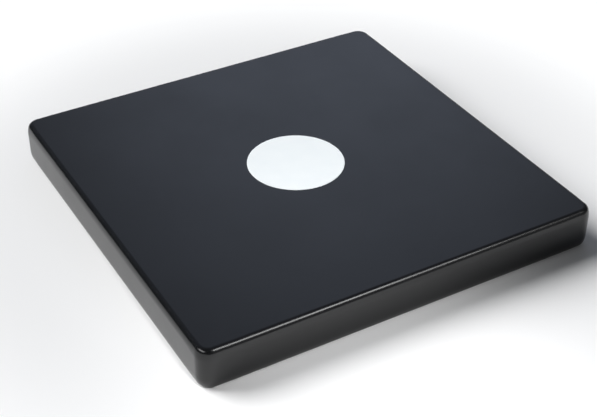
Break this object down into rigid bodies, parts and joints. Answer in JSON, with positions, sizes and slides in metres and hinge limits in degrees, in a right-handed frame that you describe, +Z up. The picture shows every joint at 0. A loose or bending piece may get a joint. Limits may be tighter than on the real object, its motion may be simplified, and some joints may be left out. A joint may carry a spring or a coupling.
{
  "type": "travel cajon",
  "caption": "Flat, square, black lacquered box drum for the lap, with a thin playing plate, a pale round badge, a sound slot in the rear rail and sprung snare fans inside.",
  "frame": {"origin": "centre of the underside, on the surface that the box lies on", "axes": "+Z up through the playing plate, +Y from the player towards the rear rail with the sound slot, +X to the player's right"},
  "size_m": [0.3, 0.3, 0.0313],
  "materials": {
    "black_lacquer": "satin black lacquer",
    "raw_wood": "sanded, unfinished",
    "snare_steel": "bright",
    "badge_foil": "satin foil"
  },
  "bodies": {
    "box": {"playing_plate": "black_lacquer", "back_plate": "black_lacquer", "front_rail": "black_lacquer", "rear_rail": "black_lacquer", "left_rail": "black_lacquer", "right_rail": "black_lacquer", "corner_block_front_left": "raw_wood", "corner_block_front_right": "raw_wood", "corner_block_rear_left": "raw_wood", "corner_block_rear_right": "raw_wood", "dowel_front_left_lower": "raw_wood", "dowel_front_left_upper": "raw_wood", "dowel_front_right_lower": "raw_wood", "dowel_front_right_upper": "raw_wood", "dowel_rear_left_lower": "raw_wood", "dowel_rear_left_upper": "raw_wood", "dowel_rear_right_lower": "raw_wood", "dowel_rear_right_upper": "raw_wood", "snare_bar": "raw_wood", "snare_clamp_left": "snare_steel", "snare_clamp_right": "snare_steel", "clamp_screw_left_fan_left": "snare_steel", "clamp_screw_left_fan_right": "snare_steel", "clamp_screw_right_fan_left": "snare_steel", "clamp_screw_right_fan_right": "snare_steel", "centre_badge": "badge_foil"},
    "left_snare": {"snare_fan_left": "snare_steel"},
    "right_snare": {"snare_fan_right": "snare_steel"}
  },
  "joints": [
    {"name": "left_snare_flex", "type": "hinge", "parent": "box", "child": "left_snare", "pos_m": [-0.07, 0.051, 0.0223], "axis": [-1, 0, 0], "range_deg": [0, 2], "stiffness_Nm_per_rad": 0.2, "springref_deg": -4.58},
    {"name": "right_snare_flex", "type": "hinge", "parent": "box", "child": "right_snare", "pos_m": [0.07, 0.051, 0.0223], "axis": [-1, 0, 0], "range_deg": [0, 2], "stiffness_Nm_per_rad": 0.2, "springref_deg": -4.58}
  ]
}
